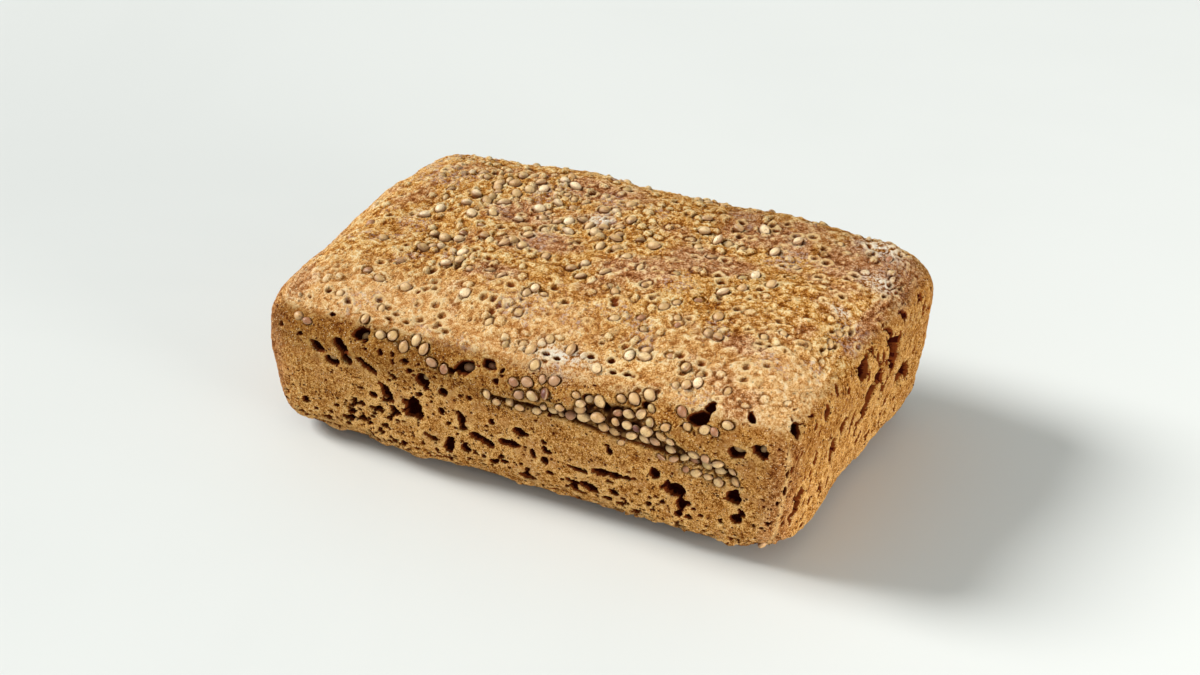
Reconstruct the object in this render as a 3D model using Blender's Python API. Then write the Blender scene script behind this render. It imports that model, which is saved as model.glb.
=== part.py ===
"""A hemp bread: a low loaf baked in a tapered tin, with whole hemp seeds in its crust.

Metres, +Z up. X runs along the loaf and -Y is the side with the seeded fold.
The origin is in the middle of the flat base that the loaf stands on.
"""

import math
import random

import bmesh
import bpy
import numpy as np
from mathutils import Matrix, Vector
from mathutils.bvhtree import BVHTree

MM = 0.001

# The tin gives the loaf its length, width and draft. The edge height is that of the top's rim.
LENGTH = 190 * MM
WIDTH = 120 * MM
EDGE_HEIGHT = 56 * MM
CROWN = 7.3 * MM
CROWN_FULLNESS = 2.5
DRAFT_LEFT, DRAFT_RIGHT = 2.6 * MM, 8.4 * MM
DRAFT_FRONT, DRAFT_BACK = 4.7 * MM, 6.2 * MM
RISE = (0.69, 0.3)  # the right end and the back rose higher: share of the height for each metre of X and Y
TOP_ROUND, BASE_ROUND = 15 * MM, 12.8 * MM
CORNER_TOP, CORNER_MIDDLE, CORNER_BASE = 22 * MM, 15.5 * MM, 17.5 * MM
NEAR_CORNER_MIDDLE, NEAR_CORNER_BASE = 6.5 * MM, 22 * MM  # the corner between the front and the right end
GRID = 12 * MM  # size of the loaf's faces between its rounded edges, before pores and seeds
EDGE_SHARES = (0.3, 0.62, 1.0)  # where planes cut a rounded edge, as shares of its radius

# The crust's slow unevenness: waves of these lengths, all of one height.
WAVE_LENGTHS = [34 * MM, 41 * MM, 50 * MM, 62 * MM, 78 * MM]
WAVE_HEIGHT = 0.28 * MM
WAVE_SEED = 7

# Swells of the crust: middle, reach and height, in millimetres.
SWELLS = [
    ((-92, 16, 54), 30, 2.0),
    ((42, 62, 52), 22, 1.0),
    ((66, 60, 56), 20, -1.2),
    ((90, 52, 54), 16, 1.0),
    ((-80, 56, 58), 26, -1.5),
    ((-92, -22, 54), 20, 0.8),
    ((-14, 60, 54), 24, -0.8),
    ((-80, -58, 20), 22, 0.8),
    ((-94, -50, 30), 12, 1.2),
    ((92, -52, 8), 20, -2.0),
]

# The fold in the front side, where the dough was lapped over and caught a band of seeds.
FOLD_START, FOLD_END = -11 * MM, 78 * MM
FOLD_HEIGHTS = (38.5 * MM, 30.5 * MM)  # at its start and its end
FOLD_ARCH = 3.2 * MM
FOLD_LIP = 1.5 * MM
FOLD_DEPTH, FOLD_RADIUS = 2.2 * MM, 3.2 * MM
FOLD_MIDDLE = 1.6 * MM  # the groove's middle above its lower edge

# A hemp seed, and how much of it stands out of the crust.
SEED_LENGTH, SEED_WIDTH, SEED_THICKNESS = 4.1 * MM, 3.4 * MM, 2.7 * MM
SEED_RINGS, SEED_SIDES = 4, 5
TOP_SEEDS = 90
SEED_SPREAD_TRIES = 5
# Where seeds lie thickest on the top, in millimetres: middle, reach, share of draws kept.
SEED_PATCHES = [
    ((-45, 24), (26, 15), 1.0),
    ((-46, -15), (20, 12), 0.6),
    ((8, 16), (30, 13), 0.75),
    ((-2, -51), (12, 6), 0.9),
    ((42, -48), (32, 7), 0.4),
    ((36, -22), (26, 11), 0.5),
]
SEED_SHARE_ELSEWHERE = 0.12
# Rows of seeds in the fold, from its lower edge up: where each starts and ends along X, in millimetres.
FOLD_ROWS = [(-9, 77), (18, 76), (20, 52), (26, 44)]
FOLD_ROW_STEP, FOLD_SEED_STEP = 3.3 * MM, 3.9 * MM

# Pores of the front side, in millimetres: place along X, height, width, height across, turn in degrees.
FRONT_PORES = [
    (-71, 40, 5.0, 3.6, -35),
    (-61, 43, 6.4, 3.6, -35),
    (-54.5, 49, 5.2, 4.6, 20),
    (-52, 38.5, 8.0, 2.4, -32),
    (-46, 30, 2.8, 7.0, 25),
    (-36.5, 26, 6.4, 6.8, 15),
    (-32.5, 38, 4.2, 4.6, 0),
    (-25.5, 35.5, 3.4, 3.2, 0),
    (-17.5, 47, 6.8, 4.8, 15),
    (-9.5, 50, 4.8, 3.4, -20),
    (-19.5, 27, 2.8, 5.0, 10),
    (-24.5, 14.5, 3.0, 5.0, -20),
    (-12.5, 20.5, 8.2, 2.8, -18),
    (-3, 22, 6.8, 2.6, 4),
    (1, 27.5, 4.4, 3.0, -15),
    (2.5, 10.5, 6.6, 2.8, 0),
    (34, 21.5, 15.0, 2.6, 4),
    (26, 13.5, 5.4, 2.8, -15),
    (49, 26, 3.2, 3.6, 30),
    (56, 21.5, 6.6, 5.0, -15),
    (76, 24, 5.2, 4.6, -30),
    (77.5, 16, 4.0, 3.2, 20),
    (61.5, 50.5, 5.6, 4.8, 0),
    (75, 41.5, 5.6, 3.8, 0),
    (83, 44, 4.8, 4.2, -30),
]

# Pores of the right end: place along Y, then as above.
RIGHT_PORES = [
    (-8.5, 46, 6.4, 7.0, -20),
    (12, 40, 8.0, 12.0, 20),
    (1, 38.5, 4.6, 8.0, 15),
    (-2.5, 34.5, 4.8, 9.0, 20),
    (-4.5, 29.5, 4.0, 6.5, 20),
    (11, 29.5, 3.6, 10.0, 10),
    (35.5, 23, 5.0, 6.0, 10),
    (-33, 46, 4.2, 6.2, -20),
    (-19.5, 32.5, 5.4, 5.6, -20),
    (-49, 21.5, 4.8, 10.0, -35),
    (-28, 29, 5.0, 7.6, -15),
    (-53.5, 51.5, 5.0, 5.4, 20),
    (26, 33, 4.0, 6.0, -15),
]

# The sides that the front's pores don't reach get some by a rule.
PLAIN_SIDE_PORES = {"back": 10, "left": 6}
PORE_SEED = 23
PORE_DEPTH_SHARE = 0.45
PORE_SIDES, PORE_RINGS = 5, 4


def clear_scene():
    for obj in list(bpy.data.objects):
        bpy.data.objects.remove(obj)


def smooth_step(values):
    """0 below 0, 1 above 1, and a soft ramp between them."""
    clipped = np.clip(values, 0, 1)
    return clipped * clipped * (3 - 2 * clipped)


def fall_off(values):
    """1 in the middle and 0 at both edges."""
    return 1 - np.minimum(np.abs(values), 1) ** CROWN_FULLNESS


def formed(points):
    """Places and normals of points of the plain box, bent into the tin's form."""
    x, y, z = points.T
    from_middle = 2 * z / EDGE_HEIGHT - 1
    near = smooth_step(3 * x / LENGTH) * smooth_step(-3 * y / WIDTH)
    middle = CORNER_MIDDLE + (NEAR_CORNER_MIDDLE - CORNER_MIDDLE) * near
    base = CORNER_BASE + (NEAR_CORNER_BASE - CORNER_BASE) * near
    corner = middle + (np.where(from_middle > 0, CORNER_TOP, base) - middle) * from_middle**2
    upright = np.where(from_middle > 0, TOP_ROUND, BASE_ROUND)
    radii = np.stack([corner, corner, upright], 1)
    half = np.array([LENGTH / 2, WIDTH / 2])
    low = np.stack([corner - half[0], corner - half[1], upright], 1)
    high = np.stack([half[0] - corner, half[1] - corner, EDGE_HEIGHT - upright], 1)
    inner = np.clip(points, low, high)
    outward = (points - inner) / radii
    outward /= np.maximum(np.linalg.norm(outward, axis=1), 1e-9)[:, None]
    x, y, z = (inner + outward * radii).T
    from_top = 1 - np.minimum(z / EDGE_HEIGHT, 1)
    draft_x = np.where(x < 0, DRAFT_LEFT, -DRAFT_RIGHT) * from_top
    draft_y = np.where(y < 0, DRAFT_FRONT, -DRAFT_BACK) * from_top
    on_top = np.clip((z - EDGE_HEIGHT + TOP_ROUND) / TOP_ROUND, 0, 1)
    dome = CROWN * on_top * fall_off(x / half[0]) * fall_off(y / half[1])
    placed = np.stack(
        [
            x + np.abs(x) / half[0] * draft_x,
            y + np.abs(y) / half[1] * draft_y,
            z * (1 + RISE[0] * x + RISE[1] * y) + dome,
        ],
        1,
    )
    normals = outward / radii
    return placed, normals / np.linalg.norm(normals, axis=1)[:, None]


def waves(points):
    """The crust's slow unevenness at points of the plain box."""
    draw = random.Random(WAVE_SEED)
    total = np.zeros(len(points))
    for wave_length in WAVE_LENGTHS:
        for _ in range(2):
            direction = np.array([draw.gauss(0, 1) for _ in range(3)])
            direction *= 2 * math.pi / wave_length / np.linalg.norm(direction)
            phase = draw.uniform(0, 2 * math.pi)
            total += WAVE_HEIGHT * np.sin(points @ direction + phase)
    return total


def fold_height(x):
    """Height of the fold's lower edge on the front side."""
    share = (x - FOLD_START) / (FOLD_END - FOLD_START)
    low, high = FOLD_HEIGHTS
    return low + (high - low) * share + FOLD_ARCH * np.sin(math.pi * np.clip(share, 0, 1))


def relief(points):
    """How far the crust stands out of the plain form, along its normal."""
    x, y, z = points.T
    off_base = smooth_step(z / (8 * MM))
    along = smooth_step((x - FOLD_START) / (18 * MM)) * smooth_step((FOLD_END - x) / (18 * MM))
    above = (z - fold_height(x) - 6 * MM) / (7 * MM)
    on_front = smooth_step((-y - WIDTH / 2 + 12 * MM) / (12 * MM))
    lip = FOLD_LIP * along * on_front * np.exp(-(above**2))
    swells = np.zeros(len(points))
    for middle, reach, height in SWELLS:
        distance = np.linalg.norm(points - np.array(middle) * MM, axis=1) / (reach * MM)
        swells += height * MM * np.exp(-(distance**2))
    return (waves(points) + swells) * off_base + lip


def surface(points):
    """Places and normals of the crust at points of the plain box."""
    points = np.atleast_2d(np.array(points, float))
    placed, normals = formed(points)
    return placed + normals * relief(points)[:, None], normals


def on_side(side, along, height):
    """The plain box's point on an upright side, from its place along the side and its height."""
    spots = {
        "front": (along, -WIDTH / 2, height),
        "back": (along, WIDTH / 2, height),
        "left": (-LENGTH / 2, along, height),
        "right": (LENGTH / 2, along, height),
    }
    return spots[side]


def frame_at(point, turn=0.0):
    """A matrix whose Z is the crust's normal there and whose X lies along the crust, turned by turn."""
    (place,), (normal,) = surface(point)
    normal = Vector(normal)
    across = Vector((0, 0, 1)).cross(normal)
    if across.length < 0.5:
        across = Vector((1, 0, 0))
    across = (across - normal * across.dot(normal)).normalized()
    axes = Matrix((across, normal.cross(across), normal)).transposed().to_4x4()
    return Matrix.Translation(place) @ axes @ Matrix.Rotation(turn, 4, "Z")


def grid_cuts(low, high, low_round, high_round):
    """Places of the planes across one axis: close together in the rounded edges, further apart between."""
    start, end = low + low_round, high - high_round
    count = round((end - start) / GRID)
    middle = [start + (end - start) * i / count for i in range(1, count)]
    low_edge = [low + low_round * share for share in EDGE_SHARES]
    high_edge = [high - high_round * share for share in EDGE_SHARES]
    return low_edge + middle + high_edge


def loaf_mesh():
    """A box cut into a grid by planes, bent into the loaf's form and cut into triangles."""
    bm = bmesh.new()
    size = (LENGTH, WIDTH, EDGE_HEIGHT)
    bmesh.ops.create_cube(bm, size=1, matrix=Matrix.Diagonal((*size, 1)))
    bmesh.ops.translate(bm, verts=bm.verts, vec=(0, 0, EDGE_HEIGHT / 2))
    lows = (-LENGTH / 2, -WIDTH / 2, 0)
    rounds = [(CORNER_TOP, CORNER_TOP), (CORNER_TOP, CORNER_TOP), (BASE_ROUND, TOP_ROUND)]
    for axis in range(3):
        normal = Vector((axis == 0, axis == 1, axis == 2))
        for cut in grid_cuts(lows[axis], lows[axis] + size[axis], *rounds[axis]):
            bmesh.ops.bisect_plane(
                bm, geom=[*bm.verts, *bm.edges, *bm.faces], plane_co=normal * cut, plane_no=normal
            )
    places, _ = surface([vert.co for vert in bm.verts])
    for vert, place in zip(bm.verts, places):
        vert.co = place
    flat = [face for face in bm.faces if all(vert.co.z < 1e-6 for vert in face.verts)]
    bmesh.ops.dissolve_faces(bm, faces=flat)
    bmesh.ops.recalc_face_normals(bm, faces=bm.faces)
    bmesh.ops.triangulate(bm, faces=bm.faces)
    mesh = bpy.data.meshes.new("loaf")
    bm.to_mesh(mesh)
    bm.free()
    return mesh


def ovoid_mesh(name, size, sides, rings, point=0.0):
    """A closed round body of that size. point draws its +X end out, as a seed's tip."""
    bm = bmesh.new()
    bmesh.ops.create_uvsphere(bm, u_segments=sides, v_segments=rings, radius=0.5)
    bmesh.ops.rotate(bm, verts=bm.verts, matrix=Matrix.Rotation(math.pi / 2, 3, "Y"))
    for vert in bm.verts:
        slimmer = 1 - point * max(vert.co.x, 0)
        vert.co = (vert.co.x * size[0], vert.co.y * size[1] * slimmer, vert.co.z * size[2] * slimmer)
    mesh = bpy.data.meshes.new(name)
    bm.to_mesh(mesh)
    bm.free()
    return mesh


def gathered(name, mesh, frames):
    """A new collection with one object for each frame, all sharing the mesh."""
    collection = bpy.data.collections.new(name)
    bpy.context.scene.collection.children.link(collection)
    for number, frame in enumerate(frames):
        obj = bpy.data.objects.new(f"{name}_{number}", mesh)
        obj.matrix_world = frame
        collection.objects.link(obj)
    return collection


def merge(loaf, collection, operation):
    """Joins the collection's objects to the loaf, or cuts them out of it, and removes them."""
    modifier = loaf.modifiers.new(collection.name, "BOOLEAN")
    modifier.operand_type = "COLLECTION"
    modifier.collection = collection
    modifier.operation = operation
    modifier.solver = "EXACT"
    bpy.context.view_layer.objects.active = loaf
    bpy.ops.object.modifier_apply(modifier=modifier.name)
    for obj in list(collection.objects):
        bpy.data.objects.remove(obj)
    bpy.data.collections.remove(collection)


def keep_outer_shell(mesh):
    """Fills the hollows that fused seeds seal and drops loose scraps, by keeping only the largest shell."""
    bm = bmesh.new()
    bm.from_mesh(mesh)
    unseen = set(bm.verts)
    shells = []
    while unseen:
        shell = [unseen.pop()]
        for vert in shell:
            reached = {edge.other_vert(vert) for edge in vert.link_edges} & unseen
            unseen -= reached
            shell.extend(reached)
        shells.append(shell)
    shells.sort(key=len)
    for shell in shells[:-1]:
        bmesh.ops.delete(bm, geom=shell, context="VERTS")
    bm.to_mesh(mesh)
    bm.free()


def plain_side_pores(side):
    """Pores like the front's, spread over a side that has none of its own."""
    draw = random.Random(f"{PORE_SEED} {side}")
    reach = (LENGTH if side == "back" else WIDTH) / 2 - 14 * MM
    pores = []
    while len(pores) < PLAIN_SIDE_PORES[side]:
        along, height = draw.uniform(-reach, reach), draw.uniform(12 * MM, 47 * MM)
        if all(math.dist((along, height), pore[:2]) > 9 * MM for pore in pores):
            wide, tall = draw.uniform(3.5, 8) * MM, draw.uniform(2.6, 4.6) * MM
            pores.append((along, height, wide, tall, math.radians(draw.uniform(-35, 25))))
    return pores


def pore_frames():
    """Frames of all pores, scaled to size."""
    listed = {"front": FRONT_PORES, "right": RIGHT_PORES}
    pores = {
        side: [(a * MM, h * MM, w * MM, t * MM, math.radians(turn)) for a, h, w, t, turn in rows]
        for side, rows in listed.items()
    }
    pores.update({side: plain_side_pores(side) for side in PLAIN_SIDE_PORES})
    frames = []
    for side, rows in pores.items():
        for along, height, wide, tall, turn in rows:
            deep = 2 * PORE_DEPTH_SHARE * math.sqrt(wide * tall)
            scale = Matrix.Diagonal((wide, tall, deep, 1))
            frames.append(frame_at(on_side(side, along, height), turn) @ scale)
    return frames


def fold_cutter():
    """A tapered channel along the fold."""
    steps, sides = 14, 7
    bm = bmesh.new()
    rings = []
    for step in range(steps + 1):
        share = step / steps
        x = FOLD_START + (FOLD_END - FOLD_START) * share
        frame = frame_at(on_side("front", x, fold_height(x) + FOLD_MIDDLE))
        radius = FOLD_RADIUS * (0.35 + 0.65 * math.sin(math.pi * share) ** 0.6)
        sunk = radius - FOLD_DEPTH * radius / FOLD_RADIUS
        ring = []
        for side in range(sides):
            angle = 2 * math.pi * side / sides
            place = Vector((0, radius * math.cos(angle), sunk + radius * math.sin(angle)))
            ring.append(bm.verts.new(frame @ place))
        rings.append(ring)
    for first, second in zip(rings, rings[1:]):
        for side in range(sides):
            after = (side + 1) % sides
            bm.faces.new((first[side], first[after], second[after], second[side]))
    bm.faces.new(rings[0])
    bm.faces.new(rings[-1])
    bmesh.ops.recalc_face_normals(bm, faces=bm.faces)
    mesh = bpy.data.meshes.new("fold")
    bm.to_mesh(mesh)
    bm.free()
    return mesh


def top_density(x, y):
    """Share of the draws kept at a place on the top."""
    share = SEED_SHARE_ELSEWHERE
    for middle, reach, most in SEED_PATCHES:
        away = sum(((at / MM - centre) / width) ** 2 for at, centre, width in zip((x, y), middle, reach))
        share = max(share, most * math.exp(-away))
    return share


def top_places(count):
    """Places of seeds on the top. Each is the one of a few draws that is furthest from its neighbours."""
    draw = random.Random(11)
    places = []
    while len(places) < count:
        tries = []
        while len(tries) < SEED_SPREAD_TRIES:
            x = draw.uniform(-LENGTH / 2 + 8 * MM, LENGTH / 2 - 10 * MM)
            y = draw.uniform(-WIDTH / 2 + 7 * MM, WIDTH / 2 - 6 * MM)
            if draw.random() < top_density(x, y):
                tries.append((x, y))
        places.append(max(tries, key=lambda p: min((math.dist(p, q) for q in places), default=1)))
    return places


def fold_places():
    """Places of the seeds packed in the fold: rows that follow its lower edge."""
    draw = random.Random(5)
    places = []
    for row, (start, end) in enumerate(FOLD_ROWS):
        x = start * MM + row * FOLD_SEED_STEP / 3
        while x < end * MM:
            height = fold_height(x) + row * FOLD_ROW_STEP + draw.uniform(0.1, 1.1) * MM
            places.append((x + draw.uniform(-0.4, 0.4) * MM, height))
            x += FOLD_SEED_STEP * draw.uniform(0.92, 1.12)
    return places


# Loose groups on the front side, in millimetres: place along X and height.
SHOULDER_SEEDS = [
    (0.5, 45.5), (4.5, 47), (2, 42.5), (6.5, 43.8), (11, 45), (13, 50), (1, 54.5), (5.5, 54),
    (-54, 54.5), (-48, 50.7), (-44, 51.8), (-40, 49), (-36, 52.3), (-32.5, 50), (-29, 46), (-25, 45),
    (-66, 36.5), (-59.5, 39), (49.5, 50.5), (60, 44), (56, 49.5), (65, 47.5), (69, 51),
]  # fmt: skip


def seed_frames(loaf):
    """Frames of all seeds, let down onto the loaf: those on the top, then the fold's, then the loose ones."""
    crust = BVHTree.FromObject(loaf, bpy.context.evaluated_depsgraph_get())
    draw = random.Random(3)
    points = [(x, y, EDGE_HEIGHT) for x, y in top_places(TOP_SEEDS)]
    on_top = len(points)
    points += [on_side("front", x, height) for x, height in fold_places()]
    points += [on_side("front", x * MM, height * MM) for x, height in SHOULDER_SEEDS]
    frames = []
    for number, point in enumerate(points):
        turn = draw.uniform(0, 2 * math.pi)
        lift = SEED_THICKNESS * draw.uniform(0.05, 0.25)
        if number < on_top:
            size = 1.12 - 0.2 * number / on_top
        else:
            size = draw.uniform(0.88, 1.08)
        frame = frame_at(point)
        out = frame.col[2].xyz
        landed, *_ = crust.ray_cast(frame.translation + out * SEED_LENGTH, -out)
        frame.translation = landed + out * lift
        tilt = Matrix.Rotation(draw.gauss(0, 0.2), 4, "X") @ Matrix.Rotation(draw.gauss(0, 0.2), 4, "Y")
        frames.append(frame @ Matrix.Rotation(turn, 4, "Z") @ tilt @ Matrix.Scale(size, 4))
    return frames


def crust_material():
    material = bpy.data.materials.new("crust")
    material.use_nodes = True
    shader = material.node_tree.nodes["Principled BSDF"]
    shader.inputs["Base Color"].default_value = (0.45, 0.26, 0.10, 1)
    shader.inputs["Roughness"].default_value = 0.85
    shader.inputs["Metallic"].default_value = 0.0
    return material


def main():
    clear_scene()
    loaf = bpy.data.objects.new("loaf", loaf_mesh())
    bpy.context.scene.collection.objects.link(loaf)
    merge(loaf, gathered("fold", fold_cutter(), [Matrix.Identity(4)]), "DIFFERENCE")
    pore = ovoid_mesh("pore", (1, 1, 1), PORE_SIDES, PORE_RINGS)
    merge(loaf, gathered("pores", pore, pore_frames()), "DIFFERENCE")
    seed = ovoid_mesh("seed", (SEED_LENGTH, SEED_WIDTH, SEED_THICKNESS), SEED_SIDES, SEED_RINGS, point=0.7)
    merge(loaf, gathered("seeds", seed, seed_frames(loaf)), "UNION")
    keep_outer_shell(loaf.data)
    loaf.data.materials.clear()
    loaf.data.materials.append(crust_material())


main()
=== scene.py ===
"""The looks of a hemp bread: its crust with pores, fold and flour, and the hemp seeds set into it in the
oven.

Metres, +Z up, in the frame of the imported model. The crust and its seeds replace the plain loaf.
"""

import itertools
import math
import random

import bpy
import numpy as np
from mathutils import Matrix, Vector
from mathutils.bvhtree import BVHTree


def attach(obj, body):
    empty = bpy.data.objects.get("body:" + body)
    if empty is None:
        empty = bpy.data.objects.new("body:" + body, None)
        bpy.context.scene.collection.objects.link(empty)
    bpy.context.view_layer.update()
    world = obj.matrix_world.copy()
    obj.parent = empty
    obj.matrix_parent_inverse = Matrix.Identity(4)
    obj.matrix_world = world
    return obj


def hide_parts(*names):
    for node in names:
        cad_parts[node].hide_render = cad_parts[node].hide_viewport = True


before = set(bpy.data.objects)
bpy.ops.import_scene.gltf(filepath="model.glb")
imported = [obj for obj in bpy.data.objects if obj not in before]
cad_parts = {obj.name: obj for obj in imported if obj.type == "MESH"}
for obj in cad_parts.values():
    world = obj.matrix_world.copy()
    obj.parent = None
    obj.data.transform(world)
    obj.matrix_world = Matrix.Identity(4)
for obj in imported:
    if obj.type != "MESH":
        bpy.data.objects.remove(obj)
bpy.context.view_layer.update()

MM = 0.001

# The loaf's form, as its solid has it.
LENGTH = 190 * MM
WIDTH = 120 * MM
EDGE_HEIGHT = 56 * MM
CROWN = 7.3 * MM
CROWN_FULLNESS = 2.5
DRAFT_LEFT, DRAFT_RIGHT = 2.6 * MM, 8.4 * MM
DRAFT_FRONT, DRAFT_BACK = 4.7 * MM, 6.2 * MM
RISE = (0.69, 0.3)  # the right end and the back rose higher: share of the height for each metre
TOP_ROUND, BASE_ROUND = 15 * MM, 12.8 * MM
CORNER_TOP, CORNER_MIDDLE, CORNER_BASE = 22 * MM, 15.5 * MM, 17.5 * MM
NEAR_CORNER_MIDDLE, NEAR_CORNER_BASE = 6.5 * MM, 22 * MM
WAVE_LENGTHS = [34 * MM, 41 * MM, 50 * MM, 62 * MM, 78 * MM]
WAVE_HEIGHT = 0.28 * MM
WAVE_DRAW = 7
# Slow swells of the crust, in millimetres: middle, reach, height.
SWELLS = [
    ((-92, 16, 54), 30, 2), ((42, 62, 52), 22, 1), ((66, 60, 56), 20, -1.2), ((90, 52, 54), 16, 1),
    ((-80, 56, 58), 26, -1.5), ((-92, -22, 54), 20, 0.8), ((-14, 60, 54), 24, -0.8),
    ((-80, -58, 20), 22, 0.8), ((-94, -50, 30), 12, 1.2), ((92, -52, 8), 20, -2),
]
FOLD_START, FOLD_END = -11 * MM, 78 * MM
FOLD_HEIGHTS = (38.5 * MM, 30.5 * MM)
FOLD_ARCH = 3.2 * MM
FOLD_LIP = 1.5 * MM
# How far the fold gapes above its lower edge: places along X, and the gap there, in millimetres.
FOLD_GAPES = [
    (-11, 0.5), (0, 1), (11, 1.5), (20, 4), (28, 9), (40, 11), (50, 7), (60, 3), (71, 3), (78, 1),
]
FOLD_RECESS = 1.6 * MM

# The crust's mesh: size of its squares, and how many of them a square underneath is across.
FINE = 0.45 * MM
UNDER_STEP = 8
# How far slopes are levelled to tell raised places from sunk ones, and how high counts as raised.
LEVEL_REACH = 1.6 * MM
RAISED_HEIGHT = 0.3 * MM

SEED_LENGTH, SEED_WIDTH, SEED_THICKNESS = 4.1 * MM, 3.1 * MM, 2.4 * MM
SEED_RINGS, SEED_SIDES = 11, 16
SEED_TIPPING = 0.3  # how far a seed tips out of the crust's plane, in radians
SEED_GAP = 2.7 * MM
TOP_SEEDS = 105
BURIED_SEEDS = 140
BURIED_GAP = 2.4 * MM
# Where seeds lie thickest on the top, in millimetres: middle, reach, share of draws kept.
SEED_PATCHES = [
    ((-45, 24), (26, 15), 1.0),
    ((-46, -15), (20, 12), 0.6),
    ((8, 16), (30, 13), 0.75),
    ((-2, -51), (12, 6), 0.9),
    ((42, -48), (32, 7), 0.4),
    ((36, -22), (26, 11), 0.5),
]
SEED_SHARE_ELSEWHERE = 0.12

# Pores, in millimetres and degrees: place along the side, height, how wide, how tall, turn.
FRONT_PORES = [
    (-71, 40, 5, 3.6, -35), (-61, 43, 6.4, 3.6, -35), (-54.5, 49, 5.2, 4.6, 20),
    (-52, 38.5, 8, 2.4, -32), (-46, 30, 2.8, 7, 25), (-36.5, 26, 6.4, 6.8, 15),
    (-32.5, 38, 4.2, 4.6, 0), (-25.5, 35.5, 3.4, 3.2, 0), (-17.5, 47, 6.8, 4.8, 15),
    (-9.5, 50, 4.8, 3.4, -20), (-19.5, 27, 2.8, 5, 10), (-24.5, 14.5, 3, 5, -20),
    (-12.5, 20.5, 8.2, 2.8, -18), (-3, 22, 6.8, 2.6, 4), (1, 27.5, 4.4, 3, -15),
    (2.5, 10.5, 6.6, 2.8, 0), (34, 21.5, 15, 2.6, 4), (26, 13.5, 5.4, 2.8, -15), (49, 26, 3.2, 3.6, 30),
    (56, 21.5, 6.6, 5, -15), (76, 24, 5.2, 4.6, -30), (77.5, 16, 4, 3.2, 20), (61.5, 50.5, 5.6, 4.8, 0),
    (75, 41.5, 5.6, 3.8, 0), (83, 44, 4.8, 4.2, -30),
]
FINER_FRONT_PORES = [
    (-67, 54, 2.4, 1.8, -20), (-88.5, 43.5, 3, 3, 0), (-65.5, 36.5, 4.4, 3.4, 0),
    (-59.5, 39, 4.4, 3.6, 0), (-47, 44.5, 1.8, 2.2, 20), (-37, 40.5, 2.2, 1.5, 20),
    (-51, 27, 3, 2.2, 0), (-26.5, 28, 1.8, 2.2, 0), (-18.5, 15, 4, 2.4, 0), (-4.5, 49, 1.8, 1.8, 0),
    (-6, 45, 1.8, 1.6, 0), (-8.5, 29, 1.8, 2, 0), (-9, 13, 3, 1.7, 0), (-5, 14, 3, 1.7, 10),
    (5.5, 20.5, 2, 2.8, 15), (10, 23.5, 1.7, 2.4, 15), (10, 19, 2.6, 2.8, 0), (11.5, 15, 2.6, 1.7, 0),
    (22, 19.5, 6.4, 1.4, -6), (34, 31, 2.3, 2.3, 20), (20.5, 14, 3, 1.7, 0), (22, 10, 4.4, 1.6, -4),
    (35, 14.5, 3.6, 2, -12), (33, 11, 2.6, 2, 0), (58.5, 17, 3, 4, 0), (58, 13, 2.6, 2, 0),
    (79.5, 19, 1.7, 2.6, 20), (63, 16, 1.4, 1, 0), (95, 31, 2.4, 2.4, 0), (91.5, 26, 1.4, 1.4, 0),
    (64, 55, 3.4, 2.8, 0), (78, 55, 3.4, 3.4, 0), (26, 47.5, 3.4, 2.2, 0), (31.5, 46.5, 3.4, 2.6, 0),
    (45, 50, 3, 2.2, 0), (28, 42.5, 2.6, 1.6, 0), (38, 41, 3, 1.6, -8),
]
RIGHT_PORES = [
    (-8.5, 46, 6.4, 7, -20), (12, 40, 8, 12, 20), (1, 38.5, 4.6, 8, 15), (-2.5, 34.5, 4.8, 9, 20),
    (-4.5, 29.5, 4, 6.5, 20), (11, 29.5, 3.6, 10, 10), (35.5, 23, 5, 6, 10), (-33, 46, 4.2, 6.2, -20),
    (-19.5, 32.5, 5.4, 5.6, -20), (-49, 21.5, 4.8, 10, -35), (-28, 29, 5, 7.6, -15),
    (-53.5, 51.5, 5, 5.4, 20), (26, 33, 4, 6, -15),
]
FINER_RIGHT_PORES = [
    (-24.5, 49, 2.2, 5.4, -20), (-18, 44.5, 2, 2.2, 0), (-12.5, 30.5, 3.2, 6.4, -20),
    (-7.5, 24, 3, 6, -20), (-2.5, 19, 2.6, 5, -20), (-51.5, 41.5, 2.4, 2, 0),
    (-35.5, 20, 2.2, 3.6, -20), (-28.5, 17.5, 2.6, 3.4, -20), (-40, 33, 2.4, 4.2, -25),
    (-44, 10, 3, 3, -25), (20, 20, 2.6, 4.2, -20), (8, 14, 3, 3.4, -20),
]
PLAIN_SIDE_PORES = {"back": 10, "left": 6}
FINER_PLAIN_SIDE_PORES = {"back": 26, "left": 14}
PORE_DRAW = 23
PORE_DEPTH_SHARE = 0.45
# Scattered pores, in millimetres: spacing, least radius, what the largest add, and a scatter number.
PORE_LAYERS = [(3.2, 0.2, 1.2, 80), (1.8, 0.1, 0.75, 84), (5.5, -1.0, 3.2, 88)]

# Where each kind of seed lies among the seeds' colours.
CREAM, TAN, GREEN, ROSY, DARK = 0.28, 0.56, 0.71, 0.9, 1.0
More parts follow.
